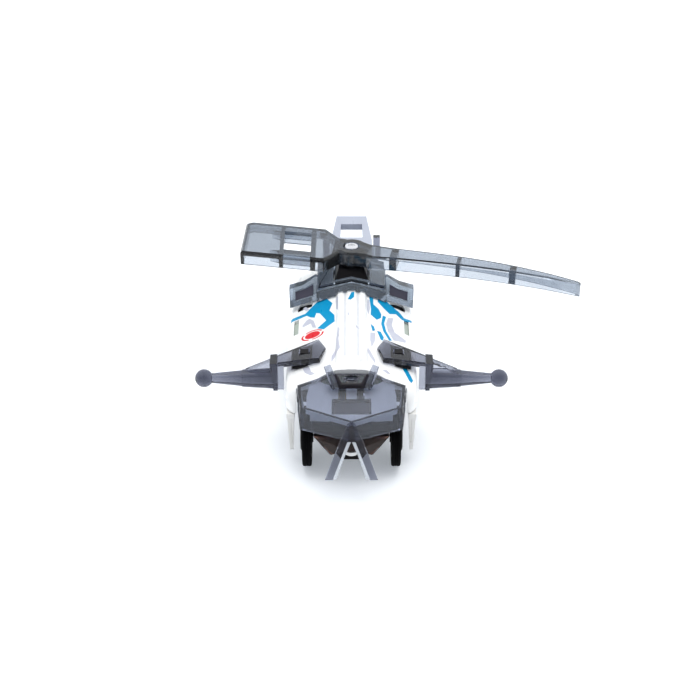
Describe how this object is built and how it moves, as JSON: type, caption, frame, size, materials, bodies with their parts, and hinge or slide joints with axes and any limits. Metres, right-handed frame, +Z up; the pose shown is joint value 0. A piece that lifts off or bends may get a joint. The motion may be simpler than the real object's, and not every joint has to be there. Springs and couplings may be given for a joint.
{
  "type": "battling bug robot toy",
  "caption": "Small motorised bug robot toy with a white carapace on legs and wheels, translucent smoked clip-on side weapons and face mask, and a spinning rotor blade on its back.",
  "frame": {"origin": "centre of the flat underside of the battery cover, in the middle of the belly; the floor under the wheels is 4 mm below it", "axes": "+Z up, +Y from the nose to the tail, +X across the robot towards the side the long rotor blade points to at rest"},
  "size_m": [0.1023, 0.0975, 0.0373],
  "materials": {
    "smoke_plastic": "translucent smoked plastic, polished",
    "dark_smoke_plastic": "dark translucent plastic, polished",
    "white_plastic": "moulded white, printed with blue and grey strokes on the carapace",
    "black_plastic": "fine moulded texture",
    "black_rubber": "matt",
    "bright_steel": "plated",
    "brass": "plain",
    "natural_nylon": "natural",
    "circuit_board": "solder resist",
    "light_pipe": "clear"
  },
  "bodies": {
    "chassis": {"arm_socket_left": "black_plastic", "arm_socket_right": "black_plastic", "battery_contact_end": "brass", "battery_contact_top": "brass", "button_cell_front": "bright_steel", "button_cell_middle": "bright_steel", "button_cell_rear": "bright_steel", "chassis_tub": "black_plastic", "chin_guard": "dark_smoke_plastic", "circuit_board": "circuit_board", "control_chip": "black_plastic", "idler_pin": "bright_steel", "leg_rail_left": "white_plastic", "leg_rail_right": "white_plastic", "light_pipe": "light_pipe", "mask_mount": "black_plastic", "motor_can": "bright_steel", "motor_driver_chip": "black_plastic", "nose_bumper": "black_rubber", "nose_collar": "white_plastic", "rear_skid": "black_rubber", "rotor_post": "black_plastic", "rotor_screw": "bright_steel", "saddle_armour": "smoke_plastic", "shell_screw_1": "bright_steel", "shell_screw_2": "bright_steel", "shell_screw_3": "bright_steel", "shell_screw_4": "bright_steel", "shock_sensor_post": "brass", "shock_sensor_spring": "bright_steel", "status_led": "light_pipe", "switch_body": "bright_steel", "tail_loop": "white_plastic", "tail_yoke": "smoke_plastic", "top_shell": "white_plastic"},
    "drive_wheels": {"drive_axle": "bright_steel", "axle_gear": "natural_nylon", "tyre_left": "black_rubber", "tyre_right": "black_rubber", "wheel_hub_left": "black_plastic", "wheel_hub_right": "black_plastic"},
    "idler": {"idler_gear": "natural_nylon"},
    "motor_armature": {"motor_shaft": "bright_steel", "motor_pinion": "brass"},
    "spinning_weapon": {"rotor": "smoke_plastic"},
    "power_switch": {"switch_knob": "black_plastic"},
    "battery_hatch": {"battery_cover": "black_plastic", "battery_cover_screw": "bright_steel"},
    "left_weapon": {"arm_left": "smoke_plastic"},
    "right_weapon": {"arm_right": "smoke_plastic"},
    "face_mask": {"mask_visor": "smoke_plastic", "mandible_fork": "smoke_plastic"}
  },
  "joints": [
    {"name": "axle_spin", "type": "hinge", "parent": "chassis", "child": "drive_wheels", "pos_m": [0, -0.0325, 0.0038], "axis": [1, 0, 0], "continuous": true},
    {"name": "idler_spin", "type": "hinge", "parent": "chassis", "child": "idler", "pos_m": [0, -0.02961, 0.00725], "axis": [1, 0, 0], "continuous": true},
    {"name": "motor_spin", "type": "hinge", "parent": "chassis", "child": "motor_armature", "pos_m": [0, -0.0257, 0.01052], "axis": [1, 0, 0], "continuous": true},
    {"name": "rotor_spin", "type": "hinge", "parent": "chassis", "child": "spinning_weapon", "pos_m": [0, 0.0177, 0.031], "axis": [0, 0, 1], "continuous": true},
    {"name": "switch_slide", "type": "slide", "parent": "chassis", "child": "power_switch", "axis": [0, 1, 0], "range_m": [0, 0.002]},
    {"name": "battery_hatch_drop", "type": "slide", "parent": "chassis", "child": "battery_hatch", "axis": [0, 0, -1], "range_m": [0, 0.012]},
    {"name": "left_weapon_lift", "type": "slide", "parent": "chassis", "child": "left_weapon", "axis": [0, 0, 1], "range_m": [0, 0.006]},
    {"name": "right_weapon_lift", "type": "slide", "parent": "chassis", "child": "right_weapon", "axis": [0, 0, 1], "range_m": [0, 0.006]},
    {"name": "face_mask_pull", "type": "slide", "parent": "chassis", "child": "face_mask", "axis": [0, -1, 0], "range_m": [0, 0.008]}
  ],
  "couplings": [
    {"joint": "idler_spin", "follows": "axle_spin", "ratio": -2},
    {"joint": "motor_spin", "follows": "axle_spin", "ratio": 4.8}
  ]
}
